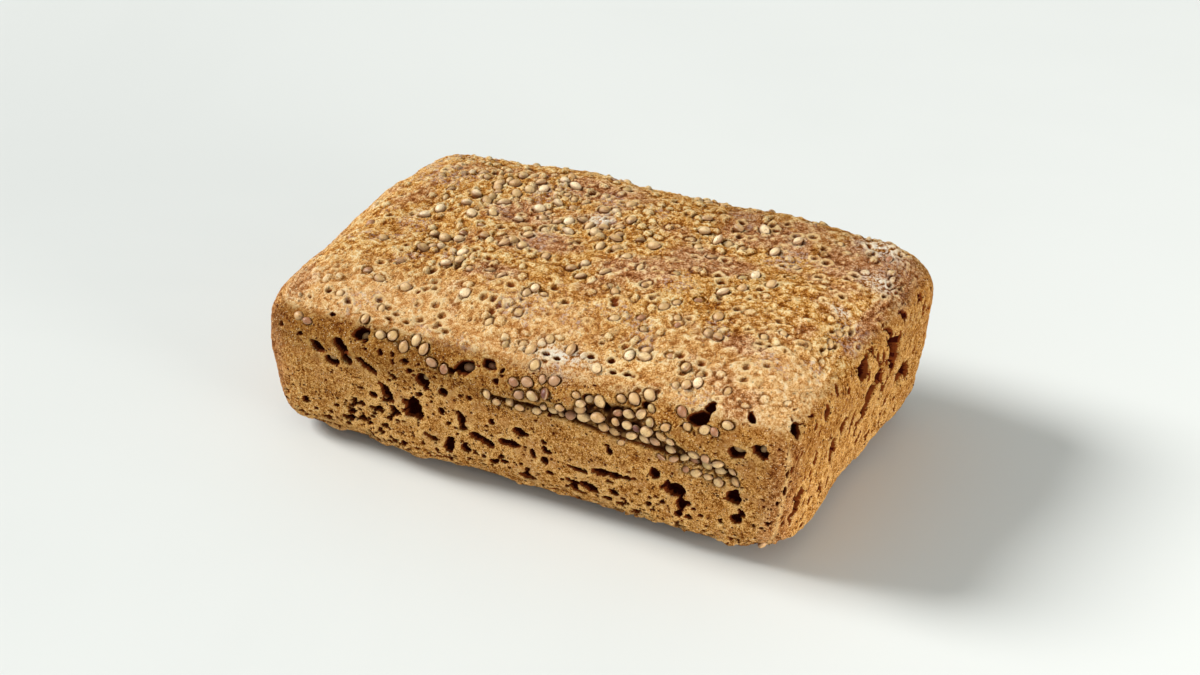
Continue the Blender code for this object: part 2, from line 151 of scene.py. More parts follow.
# Seeds that show on the front: place along X, height and length in millimetres, turn in degrees, kind.
FRONT_SEEDS = [
    (-6, 37.5, 3, -5, TAN), (-2, 38, 3.7, -10, CREAM), (2, 37.5, 3.2, -20, TAN), (8, 38, 3.2, 5, CREAM),
    (11, 41, 2.9, 75, TAN), (13.5, 39.5, 3.6, -20, CREAM), (16.5, 39, 2.6, 10, TAN),
    (20, 40, 4.2, 15, ROSY), (17, 42.5, 3.2, 5, TAN), (25, 41, 4.6, 5, CREAM), (30, 42.5, 4.6, 5, TAN),
    (23.5, 43.5, 4.2, 10, TAN), (24, 45.5, 3.4, 20, CREAM), (22, 47.5, 3, -5, TAN),
    (26.5, 47, 3.9, -35, CREAM), (30, 47.5, 4.2, -40, CREAM), (32, 39.5, 3.6, -5, TAN),
    (36.5, 45.5, 3.7, -45, ROSY), (40, 46, 3.8, -15, CREAM), (44, 47, 4, -85, CREAM),
    (36.5, 50, 3.4, -15, TAN), (40.5, 51, 4.3, -40, TAN), (44.5, 53.5, 4.4, -30, CREAM),
    (46.5, 49.5, 3, -40, GREEN), (36, 42.5, 3.2, -5, TAN), (40, 42.5, 3.4, -5, CREAM),
    (43, 42, 2.6, -50, DARK), (46.5, 42, 4.2, 10, CREAM), (35.5, 38.5, 3.9, -15, TAN),
    (41.5, 39, 3.6, 5, CREAM), (45.5, 38.5, 3.8, -30, CREAM), (38.5, 36, 2.4, 20, TAN),
    (49, 38.5, 3.6, -40, ROSY), (51.5, 41.5, 4.3, -35, TAN), (54.5, 40.5, 2.9, -15, CREAM),
    (52.5, 45, 3.3, 30, TAN), (47.5, 45.5, 3.2, -30, GREEN), (59, 46.5, 3.2, -35, TAN),
    (56, 51, 3.8, -50, ROSY), (54, 36.5, 3.8, -5, CREAM), (51.5, 33.5, 2.9, -15, ROSY),
    (55.5, 33.5, 2.9, 15, ROSY), (58.5, 34, 3.3, 25, CREAM), (62, 37, 3.9, -5, CREAM),
    (61.5, 33.5, 3.2, -10, ROSY), (66, 37, 3, -50, ROSY), (66, 33.5, 4, -60, GREEN),
    (70, 35.5, 3.8, -5, CREAM), (63, 30, 3.6, 15, CREAM), (59.5, 30.5, 2.9, 65, ROSY),
    (70.5, 32, 4.1, 5, CREAM), (67, 29.5, 3.1, 5, TAN), (74.5, 33.5, 3.1, -10, TAN),
    (70.5, 28.5, 3.9, 15, CREAM), (76, 30, 3.3, -45, TAN), (64.5, 47, 3.7, 35, CREAM),
    (67.5, 47, 3.2, -40, ROSY), (71, 50.5, 4, 15, CREAM), (75.5, 41.5, 4.2, 0, TAN),
    (83, 44, 3, 50, TAN), (0.5, 46.5, 3.6, 5, ROSY), (5, 47.5, 3.9, -15, ROSY), (2.5, 43, 4, 35, ROSY),
    (7.5, 44, 4.2, -5, GREEN), (11.5, 45.5, 3.8, -45, DARK), (9.5, 49.5, 2.9, -80, ROSY),
    (13.5, 50, 4, 25, ROSY), (5.5, 53.5, 3.9, 80, CREAM), (-54.5, 48.5, 3.2, 60, TAN),
    (-55, 55, 4, -60, CREAM), (-48, 50.5, 3.6, 10, CREAM), (-44, 51.5, 4.2, 80, CREAM),
    (-39.5, 48.5, 4.1, 75, TAN), (-36, 52, 4.2, 85, CREAM), (-32.5, 49.5, 4.2, 65, TAN),
    (-29, 45.5, 4, -25, ROSY), (-24.5, 44.5, 3.6, 80, ROSY), (-66, 36.5, 3.2, -20, TAN),
    (-59.5, 38.5, 3.6, 0, TAN), (-32.5, 37.5, 2.8, 30, CREAM), (-17.5, 46.5, 4, 10, ROSY),
    (-9.5, 49.5, 3, -15, ROSY), (-9.5, 39.5, 3.5, -40, CREAM), (-79.5, 50, 3.8, 0, TAN),
    (-75, 49, 3.2, 0, ROSY), (91.5, 3.5, 3.4, 0, TAN),
]

# Seeds that stand out on the top, in millimetres: X and Y.
SHOWN_TOP_SEEDS = [
    (-45.5, 24), (-46, 30.5), (-50.5, 22.5), (-38, 27.5), (-54, 13.5), (-41.5, 18), (-38.5, 21.5),
    (-35, 24), (-26.5, 30), (-31.5, 32), (-54, 8), (-48.5, 11), (-43, 12), (-61.5, 3.5), (-30.5, 13),
    (-26, 17.5), (-64, -2.5), (-48.5, 1), (-33.5, 4.5), (-42, 3.5), (-10.5, 19.5), (-7, 21), (-4, 26),
    (1, 16), (-21, 7.5), (-18, 9.5), (-10.5, 9.5), (-5, 9), (-55, -11.5), (-50, -13.5), (-48.5, -18),
    (-44.5, -14), (-37, -11), (-29, -12.5), (-23.5, -10.5), (-25.5, -3.5), (-22.5, 2.5), (-15, 4),
    (-6, 5.5), (-1, -1), (2, 4), (5, -1), (15.5, 3.5), (-53.5, -21), (-39, -21), (-37.5, -25.5),
    (-41, -28), (-3, -16.5), (0, -13), (2, -20), (8.5, -16), (-26.5, -41), (-7.5, -31.5), (24.5, 20.5),
    (30.5, 18), (33, 27.5), (40.5, 30.5), (52.5, 29.5), (48.5, 21), (50, 4), (49.5, -4.5), (45.5, -9.5),
    (50, -22), (54.5, -31.5), (56.5, 1.5), (2, -56), (14.5, -51), (25, -57), (33, -47.5), (38, -47),
    (54, -53.5), (57, -51.5),
]

# Empty sockets of fallen seeds on the top, in millimetres: X and Y.
TOP_SOCKETS = [
    (65, 23.5), (75.5, 21.5), (66.5, 15), (88, 26.5), (74.5, 37), (90, 19), (55.5, 34.5), (51, 32.5),
    (82, -7.5), (88, -2.5), (78.5, -21), (67.5, -29.5), (84, -18), (87, -13), (70, -45.5), (68.5, -41),
    (73.5, -37.5), (51, -49), (28.5, -51.5), (35, -56), (30.5, -57), (11.5, -57), (7.5, -56),
    (21.5, -52), (-41.5, -57), (-37.5, -54), (-31.5, -56), (-27.5, -57), (-49.5, -51.5), (-63.5, -52.5),
    (-45.5, -54), (-30.5, -50), (-34.5, -46.5), (-40.5, -40.5), (-40, -37), (45.5, -13), (53.5, -16),
    (23.5, -18.5),
]
SCATTERED_SOCKETS = 30

# Numbers that the random draws start from, so that the loaf comes out the same each time.
TOP_PLACES_DRAW, TOP_LOOKS_DRAW, SIDE_LOOKS_DRAW = 11, 17, 37
SOCKET_PLACES_DRAW, BURIED_PLACES_DRAW, BAKED_IN_DRAW = 19, 31, 29
TOP_TIPPING_DRAW, SIDE_TIPPING_DRAW = 41, 42

# Flour left on the crust: middle and reach on the top, in millimetres.
FLOUR_PATCHES = [
    ((13, -55), (9, 4)), ((76, 42), (8, 5)), ((84, 24), (7, 5)), ((80, 2), (4, 2)), ((-8, 13), (5, 3)),
]

# Where the top is browned between the seeds: middle and reach, in millimetres.
BROWN_PATCHES = [
    ((17, -10), (15, 8)), ((33, 4), (15, 9)), ((44, 31), (22, 13)), ((-26, -28), (11, 6)),
    ((-18, -5), (13, 7)), ((-34, 8), (13, 7)), ((-18, 32), (16, 8)), ((70, 27), (12, 10)),
    ((88, 34), (9, 16)), ((92, 6), (6, 18)), ((64, -32), (12, 5)),
]

# Colours of the crust from dark to pale, and of the seeds' kinds; the crust's tone follows its grain,
# and its relief as painted shade in sunk places and painted highlight on raised ones.
SIDE_TONES = [
    (0.12, (0.15, 0.034, 0.002)), (0.38, (0.43, 0.162, 0.028)), (0.62, (0.66, 0.33, 0.085)),
    (0.9, (0.9, 0.56, 0.21)),
]
WORN_TONES = [(0.12, (0.11, 0.02, 0.003)), (0.5, (0.33, 0.115, 0.035)), (0.9, (0.68, 0.36, 0.16))]
TOP_TONES = [
    (0.1, (0.16, 0.036, 0.002)), (0.38, (0.49, 0.18, 0.025)), (0.62, (0.8, 0.435, 0.112)),
    (0.88, (1.0, 0.81, 0.46)),
]
PALE_TONES = [
    (0.1, (0.45, 0.17, 0.035)), (0.38, (0.7, 0.35, 0.12)), (0.62, (0.87, 0.545, 0.235)),
    (0.88, (0.97, 0.74, 0.45)),
]
BROWN_TONES = [(0.1, (0.16, 0.038, 0.006)), (0.5, (0.5, 0.2, 0.07)), (0.88, (0.92, 0.62, 0.36))]
PAINTED_SHADE_AND_BROWNING = (0.6, 0.53, 0.4)  # how much of its colour the crust keeps where its painted shade and browning are strongest
BLOTCH, HUSK, BRAN = (0.45, 0.175, 0.05), (0.8, 0.56, 0.3), (0.66, 0.5, 0.43)
FLECK_AND_GLINT, RIM, FLOUR = (1.0, 0.82, 0.52), (0.86, 0.6, 0.29), (0.9, 0.82, 0.7)
# Painted shade in pin holes, on the walls of pores and on their deepest floors.
PIN_HOLE_SHADE, PORE_WALL_SHADE, PORE_FLOOR_SHADE = (0.085, 0.018, 0.004), (0.2, 0.042, 0.008), (0.045, 0.004, 0.001)
# Painted shade in the gaps round seeds, in the creases round buried seeds and in the fold's hollow.
GAP_SHADE = (0.04, 0.008, 0.001)
SEED_TINTS = [
    (0.0, (0.98, 0.78, 0.5)), (0.2, (0.7, 0.48, 0.22)), (0.6, (0.56, 0.32, 0.12)),
    (0.7, (0.49, 0.34, 0.13)), (0.78, (0.46, 0.27, 0.12)), (0.86, (0.4, 0.18, 0.08)),
    (0.95, (0.36, 0.155, 0.078)), (0.99, (0.15, 0.045, 0.03)),
]
PALER_SEED, VEIN, SEED_UNDERSIDE_SHADE = (0.72, 0.5, 0.27), (0.22, 0.085, 0.035), (0.2, 0.06, 0.012)
SEED_TIP, SEED_KEEL = (0.26, 0.11, 0.045), (0.7, 0.5, 0.28)

# Where the camera stood: its lens, tilt, turn and distance fitted to the photograph.
LENS, SENSOR = 90.0, 36.0
CAMERA_TILT, CAMERA_TURN = math.radians(32.02), math.radians(27.86)
CAMERA_DISTANCE = 0.968
CAMERA_ASIDE, CAMERA_LOW = 1.5 * MM, -24.5 * MM

# The light: a broad sun from the left, a warm low glow from the right, and a pale studio all round.
KEY_FROM, KEY_COLOUR = (-1.0, -0.17, 0.74), (1.0, 0.975, 0.93)
KEY_STRENGTH, KEY_WIDTH = 4.05, math.radians(24)
BOUNCE_FROM, BOUNCE_COLOUR = (1.0, -0.25, 0.06), (1.0, 0.95, 0.86)
BOUNCE_DISTANCE, BOUNCE_SIZE, BOUNCE_POWER = 1.0, 0.5, 14.5
STUDIO_COLOUR, STUDIO_STRENGTH = (0.955, 0.985, 0.945), 0.43
FLOOR_REACH = 4.0
FLOOR_COLOURS = [(0.69, 0.722, 0.728), (0.67, 0.702, 0.708)]


def smooth_step(values):
    clipped = np.clip(values, 0, 1)
    return clipped * clipped * (3 - 2 * clipped)


def rising(values, start, length):
    """0 up to the start, and 1 from that length further on. Start and length are in millimetres."""
    return smooth_step((values - start * MM) / (length * MM))


def falling(values, end, length):
    """1 until that length before the end, and 0 from there on. End and length are in millimetres."""
    return rising(-values, -end, length)


def bell(values, middle, reach):
    """1 in the middle, fading out on both sides."""
    return np.exp(-(((values - middle) / reach) ** 2))


def fall_off(values):
    """1 in the middle and 0 at both edges."""
    return 1 - np.minimum(np.abs(values), 1) ** CROWN_FULLNESS


def formed(points):
    """Bends points of the plain box into the loaf's form. Gives places and normals."""
    x, y, z = points.T
    from_middle = 2 * z / EDGE_HEIGHT - 1
    near = smooth_step(3 * x / LENGTH) * smooth_step(-3 * y / WIDTH)
    middle = CORNER_MIDDLE + (NEAR_CORNER_MIDDLE - CORNER_MIDDLE) * near
    base = CORNER_BASE + (NEAR_CORNER_BASE - CORNER_BASE) * near
    corner = middle + (np.where(from_middle > 0, CORNER_TOP, base) - middle) * from_middle**2
    upright = np.where(from_middle > 0, TOP_ROUND, BASE_ROUND)
    radii = np.stack([corner, corner, upright], 1)
    half = np.array([LENGTH / 2, WIDTH / 2])
    low = np.stack([corner - half[0], corner - half[1], upright], 1)
    high = np.stack([half[0] - corner, half[1] - corner, EDGE_HEIGHT - upright], 1)
    inner = np.clip(points, low, high)
    outward = (points - inner) / radii
    outward /= np.maximum(np.linalg.norm(outward, axis=1), 1e-9)[:, None]
    x, y, z = (inner + outward * radii).T
    from_top = 1 - np.minimum(z / EDGE_HEIGHT, 1)
    draft_x = np.where(x < 0, DRAFT_LEFT, -DRAFT_RIGHT) * from_top
    draft_y = np.where(y < 0, DRAFT_FRONT, -DRAFT_BACK) * from_top
    on_top = np.clip((z - EDGE_HEIGHT + TOP_ROUND) / TOP_ROUND, 0, 1)
    dome = CROWN * on_top * fall_off(x / half[0]) * fall_off(y / half[1])
    placed = [
        x + np.abs(x) / half[0] * draft_x,
        y + np.abs(y) / half[1] * draft_y,
        z * (1 + RISE[0] * x + RISE[1] * y) + dome,
    ]
    normals = outward / radii
    return np.stack(placed, 1), normals / np.linalg.norm(normals, axis=1)[:, None]


def waves(points):
    """The crust's slow unevenness."""
    draw = random.Random(WAVE_DRAW)
    total = np.zeros(len(points))
    for wave_length in WAVE_LENGTHS:
        for _ in range(2):
            direction = np.array([draw.gauss(0, 1) for _ in range(3)])
            direction *= 2 * math.pi / wave_length / np.linalg.norm(direction)
            phase = draw.uniform(0, 2 * math.pi)
            total += WAVE_HEIGHT * np.sin(points @ direction + phase)
    return total


def fold_height(x):
    """Height of the fold's lower edge on the front side."""
    share = (x - FOLD_START) / (FOLD_END - FOLD_START)
    low, high = FOLD_HEIGHTS
    return low + (high - low) * share + FOLD_ARCH * np.sin(math.pi * np.clip(share, 0, 1))


def along_fold(x, fade):
    """1 along the fold, and 0 from its ends on."""
    return smooth_step((x - FOLD_START) / fade) * smooth_step((FOLD_END - x) / fade)


def relief(points):
    """How far the solid's crust stands out of the plain form, along its normal."""
    x, y, z = points.T
    off_base = rising(z, 0, 8)
    on_front = rising(-y - WIDTH / 2, -12, 12) * bell(z - fold_height(x), 6 * MM, 7 * MM)
    lip = FOLD_LIP * along_fold(x, 18 * MM) * on_front
    swells = np.zeros(len(points))
    for middle, reach, height in SWELLS:
        distance = np.linalg.norm(points - np.array(middle) * MM, axis=1)
        swells += height * MM * bell(distance, 0, reach * MM)
    return (waves(points) + swells) * off_base + lip


SIDE_NORMALS = {"front": (0, -1, 0), "back": (0, 1, 0), "left": (-1, 0, 0), "right": (1, 0, 0)}


def on_side(side, along, height):
    """The plain box's point on an upright side, from its place along the side and its height."""
    x, y, _ = SIDE_NORMALS[side]
    return x * LENGTH / 2 if x else along, y * WIDTH / 2 if y else along, height


def hashed(cells, salt):
    """A number from 0 to 1 for each whole-numbered cell."""
    x, y, z = (cells[..., axis].astype(np.uint32) for axis in range(3))
    mixed = x * np.uint32(0x9E3779B1) ^ y * np.uint32(0x85EBCA77) ^ z * np.uint32(0xC2B2AE3D)
    mixed = mixed ^ np.uint32(salt * 0x27D4EB2F & 0xFFFFFFFF)
    mixed = (mixed ^ (mixed >> 15)) * np.uint32(0x2C1B3C6D)
    mixed = (mixed ^ (mixed >> 12)) * np.uint32(0x297A2D39)
    return (mixed ^ (mixed >> 15)) / 2**32


# Keeps the noise off the box's own directions.
TILTED = np.array(Matrix.Rotation(0.7, 3, Vector((1, 2, 3))))


def noise(points, size, salt):
    """Smooth noise from -1 to 1 with lumps of about that size."""
    scaled = points @ TILTED / size
    cell = np.floor(scaled).astype(np.int64)
    share = scaled - cell
    share = share * share * (3 - 2 * share)
    total = np.zeros(len(points))
    for corner in itertools.product((0, 1), repeat=3):
        weight = np.prod(np.where(corner, share, 1 - share), axis=1)
        total += weight * hashed(cell + corner, salt)
    return 2 * total - 1


def fractal(points, size, salt, octaves=3):
    """Noise with finer and weaker noise added."""
    return sum(noise(points, size / 2**n, salt + n) / 2**n for n in range(octaves))


def nearest_spot(points, spacing, salt):
    """Distance to the nearest of many scattered spots, and that spot's own number from 0 to 1."""
    scaled = points / spacing
    cell = np.floor(scaled).astype(np.int64)
    nearest = np.full(len(points), 9.0)
    number = np.zeros(len(points))
    for step in itertools.product((-1, 0, 1), repeat=3):
        other = cell + step
        spot = other + np.stack([hashed(other, salt + axis) for axis in range(3)], -1)
        distance = np.linalg.norm(scaled - spot, axis=1)
        closer = distance < nearest
        nearest[closer] = distance[closer]
        number[closer] = hashed(other[closer], salt + 3)
    return nearest * spacing, number


def in_patch(x, y, middle, reach):
    """1 in the middle of a patch on the top, fading outwards over its reach."""
    return bell(x / MM, middle[0], reach[0]) * bell(y / MM, middle[1], reach[1])


def top_density(x, y):
    """Share of the draws kept at a place on the top."""
    shares = [most * in_patch(x, y, middle, reach) for middle, reach, most in SEED_PATCHES]
    return max(SEED_SHARE_ELSEWHERE, *shares)


def top_places(count, taken, gap, salt):
    """Places of more seeds on the top, clear of those taken."""
    draw = random.Random(salt)
    places = []
    while len(places) < count:
        x = draw.uniform(-LENGTH / 2 + 5 * MM, LENGTH / 2 - 7 * MM)
        y = draw.uniform(-WIDTH / 2 + 3 * MM, WIDTH / 2 - 5 * MM)
        kept = draw.random() < top_density(x, y)
        if kept and all(math.dist((x, y), other) > gap for other in itertools.chain(taken, places)):
            places.append((x, y))
    return places


def fold_recess(x, z):
    """1 inside the gaping fold on the front, and 0 outside it."""
    places, gapes = zip(*FOLD_GAPES)
    above = (z - fold_height(x)) / MM
    gape = np.interp(x / MM, places, gapes)
    return smooth_step(above / 1.2 + 1) * smooth_step((gape - above) / 2.4 + 0.5) * along_fold(x, 3 * MM)


def plain_side_pores(side, counts, sizes):
    """Pores like the front's, spread over a side that has none of its own."""
    draw = random.Random(f"{PORE_DRAW} {side}")
    reach = (LENGTH if side == "back" else WIDTH) / 2 - 14 * MM
    pores = []
    while len(pores) < counts[side]:
        along, height = draw.uniform(-reach, reach), draw.uniform(12 * MM, 47 * MM)
        if all(math.dist((along, height), pore[:2]) > 9 * MM for pore in pores):
            wide, tall = draw.uniform(*sizes[0]) * MM, draw.uniform(*sizes[1]) * MM
            pores.append((along, height, wide, tall, math.radians(draw.uniform(-35, 25))))
    return pores


def box_grid(fine):
    """Points and faces of the plain box, with fine squares on five sides and coarse ones underneath."""
    counts = [round(size / fine / UNDER_STEP) * UNDER_STEP for size in (LENGTH, WIDTH)]
    counts.append(round(EDGE_HEIGHT / fine))
    nx, ny, nz = counts
    used = np.zeros((nx + 1, ny + 1, nz + 1), bool)
    used[0], used[-1], used[:, 0], used[:, -1], used[:, :, -1] = (True,) * 5
    used[::UNDER_STEP, ::UNDER_STEP, 0] = True
    number = np.cumsum(used).reshape(used.shape) - 1
    share = np.argwhere(used) / counts
    points = (share - (0.5, 0.5, 0)) * (LENGTH, WIDTH, EDGE_HEIGHT)
    faces = []
    sides = [number[:, 0], number[:, -1], number[0], number[-1], number[:, :, -1]]
    for side, turned in zip(sides, (False, True, True, False, False)):
        quads = np.stack([side[:-1, :-1], side[1:, :-1], side[1:, 1:], side[:-1, 1:]], -1).reshape(-1, 4)
        faces += (quads[:, ::-1] if turned else quads).tolist()
    under = number[:, :, 0]
    for i, j in itertools.product(range(0, nx, UNDER_STEP), range(0, ny, UNDER_STEP)):
        rim = [(i + n, j) for n in range(UNDER_STEP)]
        rim += [(i + UNDER_STEP, j + n) for n in range(UNDER_STEP)]
        rim += [(i + UNDER_STEP - n, j + UNDER_STEP) for n in range(UNDER_STEP)]
        rim += [(i, j + UNDER_STEP - n) for n in range(UNDER_STEP)]
        faces.append([int(under[spot]) for spot in reversed(rim) if used[spot[0], spot[1], 0]])
    return points, faces


class Relief:
    """The crust's relief, summed over the points of its mesh, and what its material needs to know."""

    def __init__(self, points):
        self.points = points
        self.height = relief(points)
        self.pit, self.rim, self.gap, self.husk = np.zeros((4, len(points)))
        self.ragged = fractal(points, 1.9 * MM, 40, 2)

    def within(self, centre, reach):
        """Numbers of the points near a place of the plain box, and their offsets from it."""
        centre = np.array(centre)
        near = np.flatnonzero((np.abs(self.points - centre) < reach).all(1))
        return near, self.points[near] - centre

    def pore(self, side, along, height, wide, tall, turn):
        """A ragged hole with steep walls, painted in shade inside."""
        normal = Vector(SIDE_NORMALS[side])
        across = Vector((0, 0, 1)).cross(normal)
        up = normal.cross(across)
        first = np.array(across * math.cos(turn) + up * math.sin(turn))
        second = np.array(up * math.cos(turn) - across * math.sin(turn))
        near, offset = self.within(on_side(side, along, height), max(wide, tall))
        through = offset @ np.array(normal) / max(wide, tall)
        away = np.sqrt((offset @ first / wide) ** 2 + (offset @ second / tall) ** 2 + through**2) * 2
        inside = smooth_step((1.2 + 0.36 * self.ragged[near] - away) / 0.34)
        depth = PORE_DEPTH_SHARE * min(wide, tall) ** 0.7 * max(wide, tall) ** 0.3 * 1.7
        self.sink(near, inside * depth, np.sqrt(inside))

    def sink(self, near, depth, pit):
        # pit tells how far into a hollow a point lies; the material paints it in shade.
        self.height[near] -= np.maximum(depth - self.pit[near] * 1.2 * MM, 0)
        self.pit[near] = np.maximum(self.pit[near], pit)

    def socket(self, centre, radius, depth, pit):
        """A round dent with a raised, paler rim, where a seed fell out; the dent is painted in shade."""
        near, offset = self.within(centre, 2.4 * radius)
        away = np.linalg.norm(offset, axis=1) / radius * (1 + 0.15 * self.ragged[near])
        inside = smooth_step((1.05 - away) / 0.5)
        rim = bell(away, 1.25, 0.28)
        self.height[near] += 0.28 * MM * rim - depth * inside
        self.pit[near] = np.maximum(self.pit[near], pit * inside)
        self.rim[near] = np.maximum(self.rim[near], rim)

    def oval(self, spot, size, turn):
        """Numbers of the points near a seed, and how far off its middle they lie: 1 on its outline."""
        near, offset = self.within(spot, SEED_LENGTH)
        across, up, out = offset.T if spot[2] == EDGE_HEIGHT else offset[:, [0, 2, 1]].T
        along = across * math.cos(turn) + up * math.sin(turn)
        aside = up * math.cos(turn) - across * math.sin(turn)
        away = np.sqrt((along / SEED_LENGTH) ** 2 + (aside / SEED_WIDTH) ** 2 + (out / SEED_WIDTH) ** 2)
        return near, 2 * away / size

    def hump(self, spot, size, turn, height, husk):
        """A seed sunk in under the crust, with a crease round it that is painted in shade."""
        near, away = self.oval(spot, size, turn)
        away = away * (1 + 0.12 * self.ragged[near])
        raised = np.sqrt(np.clip(1 - away**2, 0, 1))
        crease = bell(away, 1.12, 0.2)
        self.height[near] += height * raised - 0.3 * MM * crease
        self.gap[near] = np.maximum(self.gap[near], 0.3 * crease)
        self.husk[near] += husk * raised

    def moat(self, spot, size, turn, open_share):
        """The narrow gap round a seed, painted in shade, and the crust drawn up outside it."""
        near, away = self.oval(spot, size, turn)
        gap = bell(away, 1.03, 0.2)
        collar = bell(away, 1.35, 0.2) * np.clip(0.6 + self.ragged[near], 0, 1)
        self.height[near] += (0.45 * collar - 0.7 * open_share * gap) * MM
        self.gap[near] = np.maximum(self.gap[near], 0.82 * open_share * gap)


def levelled(heights, faces, rounds):
    """Each point's height after that many rounds of averaging it with its neighbours on the mesh."""
    quads = np.array([face for face in faces if len(face) == 4])
    first = np.concatenate([quads[:, corner] for corner in range(4)])
    second = np.concatenate([quads[:, (corner + 1) % 4] for corner in range(4)])
    count = len(heights)
    neighbours = np.bincount(first, minlength=count) + np.bincount(second, minlength=count)
    level = heights
    for _ in range(rounds):
        total = np.bincount(first, level[second], count) + np.bincount(second, level[first], count)
        level = (level + total) / (1 + neighbours)
    return level


def top_seeds():
    """Place, size, turn, tint and lift of each seed on the top."""
    draw = random.Random(TOP_LOOKS_DRAW)
    shown = [(x * MM, y * MM) for x, y in SHOWN_TOP_SEEDS]
    more = top_places(TOP_SEEDS, shown, SEED_GAP, TOP_PLACES_DRAW)
    seeds = []
    for number, (x, y) in enumerate(shown + more):
        turn = draw.uniform(0, 2 * math.pi)
        if number < len(shown):
            size = draw.uniform(0.9, 1.1)
            tint = 0.55 * draw.random() ** 1.8
            lift = draw.uniform(-0.08, 0.18)
        else:
            size = draw.uniform(0.75, 1.0)
            tint = 0.3 + 0.65 * draw.random() ** 2
            lift = draw.uniform(-0.38, -0.05)
        seeds.append(((x, y, EDGE_HEIGHT), size, turn, tint, lift))
    return seeds


def side_seeds():
    """Place, size, turn, tint and lift of each seed on the upright sides."""
    draw = random.Random(SIDE_LOOKS_DRAW)
    seeds = []
    for x, height, length, turn, tint in FRONT_SEEDS:
        spot = on_side("front", x * MM, height * MM)
        size = length * MM / SEED_LENGTH
        seeds.append((spot, size, math.radians(turn), tint, draw.uniform(-0.1, 0.15)))
    return seeds


def spread_on_top(count, salt, bare, apart):
    """Places on the top that keep apart from those in bare and from each other."""
    draw = random.Random(salt)
    places = []
    while len(places) < count:
        x = draw.uniform(-LENGTH / 2 + 5 * MM, LENGTH / 2 - 5 * MM)
        y = draw.uniform(-WIDTH / 2 + 3 * MM, WIDTH / 2 - 3 * MM)
        spot = (x, y, EDGE_HEIGHT)
        if all(math.dist(spot, other) > apart for other in itertools.chain(bare, places)):
            places.append(spot)
    return places


def roughness(surface, up):
    """The crust's own lumps, flakes and dimples, which leave the top's mean height as it was."""
    points = surface.points
    z = points[:, 2]
    rough = 0.5 * MM * fractal(points, 13 * MM, 1, 2) * (0.5 + 0.8 * up)
    rough += 0.42 * MM * fractal(points, 4.2 * MM, 5, 4) * (0.5 + 0.4 * up)
    rough += 0.16 * MM * fractal(points, 1.3 * MM, 70, 2)
    lumpy = 0.25 + 0.75 * smooth_step(0.5 + 1.2 * noise(points, 16 * MM, 19))
    lumps = 0.6 * np.abs(fractal(points, 3.6 * MM, 15, 2)) + 0.4 * np.abs(noise(points, 1.6 * MM, 17))
    rough += up * lumpy * lumps * MM
    dimple, kind = nearest_spot(points, 4.6 * MM, 90)
    away = dimple / ((0.9 + 0.6 * kind) * MM)
    bowl = smooth_step((1.1 - away) / 0.6) * (kind > 0.82) * up
    brim = bell(away, 1.3, 0.3) * (kind > 0.82) * up
    rough += (0.3 * brim - 0.8 * bowl) * MM
    by_base = falling(z, 9, 6)
    rough += by_base * 1.1 * MM * fractal(points * (1, 1, 2), 6 * MM, 60, 3)
    surface.rim = np.maximum(surface.rim, 0.6 * brim)
    # Painted shade in the dimples.
    surface.pit = np.maximum(surface.pit, 0.3 * bowl)
    surface.height += rough - up * rough[up == 1].mean()


def fold(surface):
    """The gaping fold along the front: a groove at its lower edge, and a rough hollow above it; both are
    painted in shade.
    """
    x, y, z = surface.points.T
    edge = (z - fold_height(x)) / MM
    on_front = y < -WIDTH / 2 + 0.1 * MM
    groove = bell(edge, -0.3, 0.4) * on_front * along_fold(x, 5 * MM)
    recess = fold_recess(x, z) * on_front
    surface.height -= 0.9 * MM * groove + FOLD_RECESS * recess * (1 + 0.3 * surface.ragged)
    surface.pit = np.maximum(surface.pit, 0.4 * groove)
    surface.gap = np.maximum(surface.gap, np.clip(0.95 + 0.8 * surface.ragged, 0, 1) * recess)


def large_pores(surface):
    sides = {"front": FRONT_PORES + FINER_FRONT_PORES, "right": RIGHT_PORES + FINER_RIGHT_PORES}
    for side, rows in sides.items():
        for along, height, wide, tall, turn in rows:
            surface.pore(side, along * MM, height * MM, wide * MM, tall * MM, math.radians(turn))
    for side in PLAIN_SIDE_PORES:
        for pore in plain_side_pores(side, PLAIN_SIDE_PORES, ((3.5, 8), (2.6, 4.6))):
            surface.pore(side, *pore)
        for pore in plain_side_pores(side, FINER_PLAIN_SIDE_PORES, ((1.8, 4), (1.6, 3))):
            surface.pore(side, *pore)


def small_pores(surface, up):
    """Scattered pores, larger low down, which are upright slits on the ends, and cracks at the base, all
    painted in shade inside.
    """
    points = surface.points
    x, _, z = points.T
    every = np.arange(len(points))
    end = rising(np.abs(x) - LENGTH / 2, -3, 3) * (1 - up)
    leaning = points - np.outer(0.35 * z * end, (0, 1, 0))
    stretch = np.where(end[:, None] > 0.5, (1, 0.85, 0.42), (0.7, 1, 1.2))
    low = falling(z, 30, 18)
    crowded = 0.8 + 0.35 * noise(points, 26 * MM, 77)
    share = np.where(end > 0.5, 1.0, 0.65 + 0.5 * low) * crowded * (1 - 0.8 * up)
    for spacing, smallest, spread, salt in PORE_LAYERS:
        away, own = nearest_spot(leaning * stretch, spacing * MM, salt)
        radius = (smallest + spread * own) * MM * share
        hole = rising(radius * (1 + 0.8 * surface.ragged) - away, 0, 0.3)
        surface.sink(every, hole * np.maximum(radius, 0) * 1.7, 0.9 * hole)
    away, own = nearest_spot(points * (0.35, 1, 1.7), 4.6 * MM, 95)
    crack = rising(1.5 * MM * own * (1 + 0.9 * surface.ragged) - away, 0, 0.4)
    crack *= falling(z, 12, 6) * (1 - up)
    surface.sink(every, 1.6 * MM * crack, 0.8 * crack)


